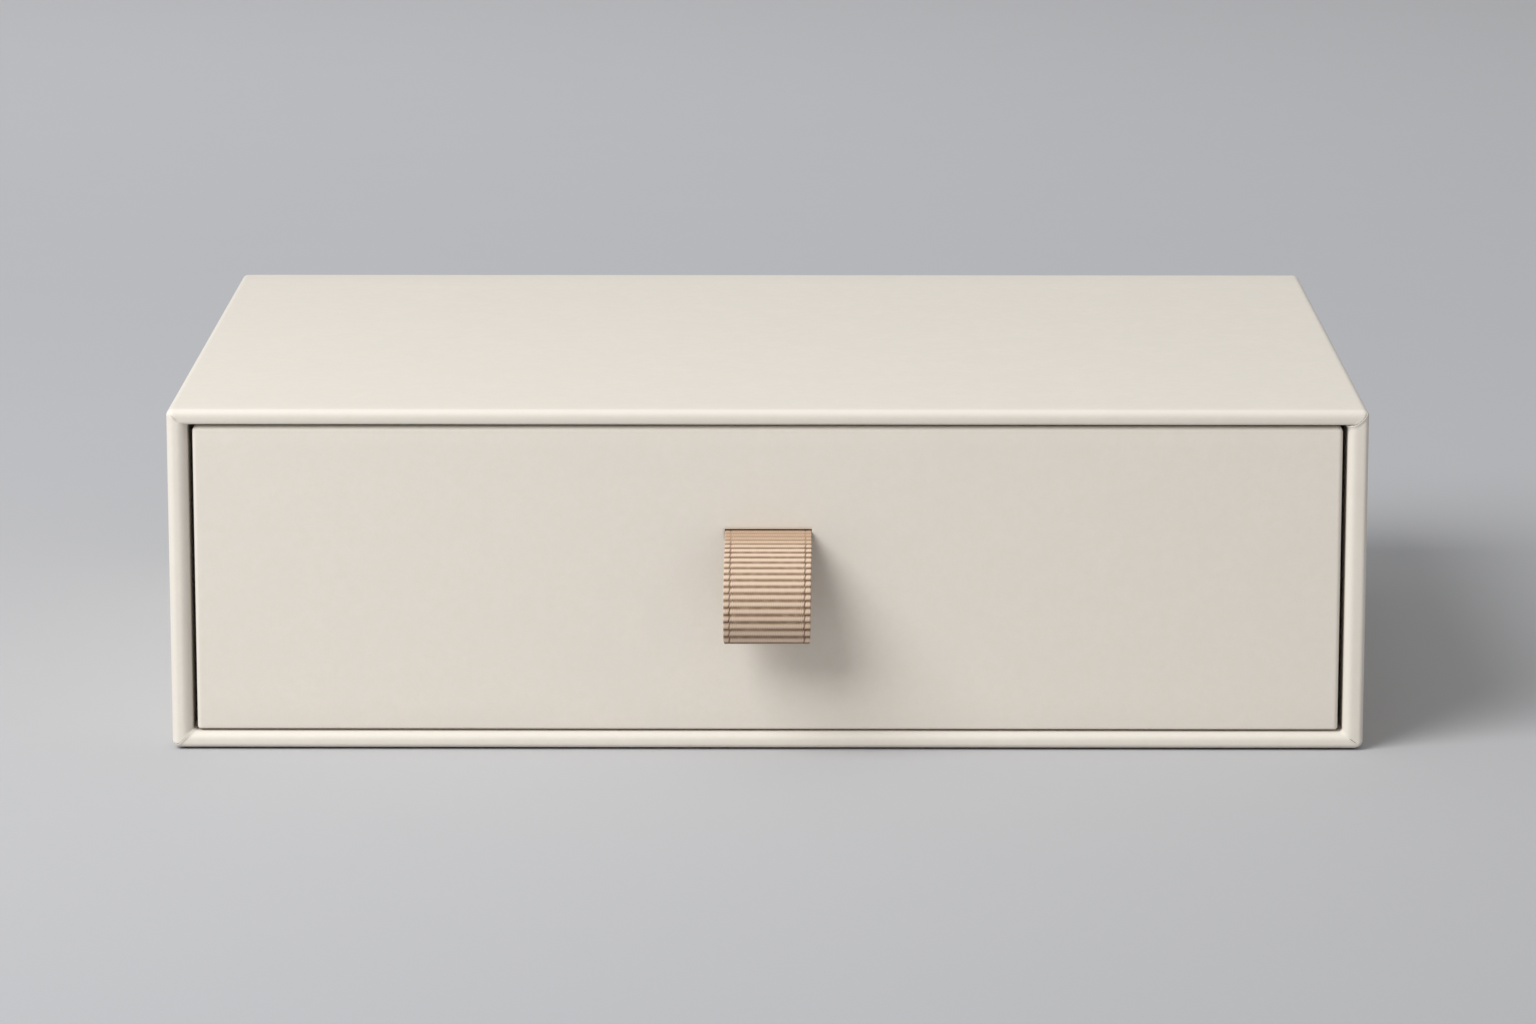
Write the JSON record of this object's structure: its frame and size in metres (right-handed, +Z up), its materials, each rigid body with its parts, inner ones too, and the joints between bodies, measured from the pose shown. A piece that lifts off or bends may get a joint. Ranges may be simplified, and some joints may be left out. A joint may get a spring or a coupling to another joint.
{
  "type": "sliding drawer gift box",
  "caption": "Paper-wrapped board sleeve with a drawer that slides out of its front, pulled by a short ribbon loop through a slot in the drawer front.",
  "frame": {"origin": "middle of the flat underside of the sleeve, on the surface that the box stands on", "axes": "+Z up, -Y out of the sleeve's mouth, the way the drawer opens, and +X to the right of someone who faces the drawer front"},
  "size_m": [0.22, 0.1624, 0.064],
  "materials": {
    "cream_paper": "matte uncoated wrapping paper, faintly mottled",
    "inner_paper": "matte lining paper",
    "greyboard": "raw recycled greyboard with fibre specks",
    "kraft_tape": "gummed kraft tape",
    "grosgrain_ribbon": "ribbed matte grosgrain weave"
  },
  "bodies": {
    "sleeve": {"sleeve_wrap": "cream_paper", "sleeve_back_cover": "cream_paper", "sleeve_lining": "inner_paper", "sleeve_top_board": "greyboard", "sleeve_base_board": "greyboard", "sleeve_left_board": "greyboard", "sleeve_right_board": "greyboard", "sleeve_back_board": "greyboard", "sleeve_top_left_tape": "kraft_tape", "sleeve_top_right_tape": "kraft_tape", "sleeve_base_left_tape": "kraft_tape", "sleeve_base_right_tape": "kraft_tape", "sleeve_back_top_tape": "kraft_tape", "sleeve_back_base_tape": "kraft_tape", "sleeve_back_left_tape": "kraft_tape", "sleeve_back_right_tape": "kraft_tape"},
    "drawer": {"drawer_wrap": "cream_paper", "drawer_floor_liner": "inner_paper", "drawer_floor_board": "greyboard", "drawer_front_board": "greyboard", "drawer_back_board": "greyboard", "drawer_left_board": "greyboard", "drawer_right_board": "greyboard", "drawer_front_left_tape": "kraft_tape", "drawer_front_right_tape": "kraft_tape", "drawer_back_left_tape": "kraft_tape", "drawer_back_right_tape": "kraft_tape", "drawer_floor_front_tape": "kraft_tape", "drawer_floor_back_tape": "kraft_tape", "drawer_floor_left_tape": "kraft_tape", "drawer_floor_right_tape": "kraft_tape", "ribbon_upper_tail": "grosgrain_ribbon", "ribbon_lower_tail": "grosgrain_ribbon", "tail_patch": "inner_paper"},
    "pull": {"ribbon_loop": "grosgrain_ribbon"}
  },
  "joints": [
    {"name": "drawer_slide", "type": "slide", "parent": "sleeve", "child": "drawer", "axis": [0, -1, 0], "range_m": [0, 0.15]},
    {"name": "pull_swing", "type": "hinge", "parent": "drawer", "child": "pull", "pos_m": [0, -0.07455, 0.04134], "axis": [-1, 0, 0], "range_deg": [0, 60]}
  ]
}
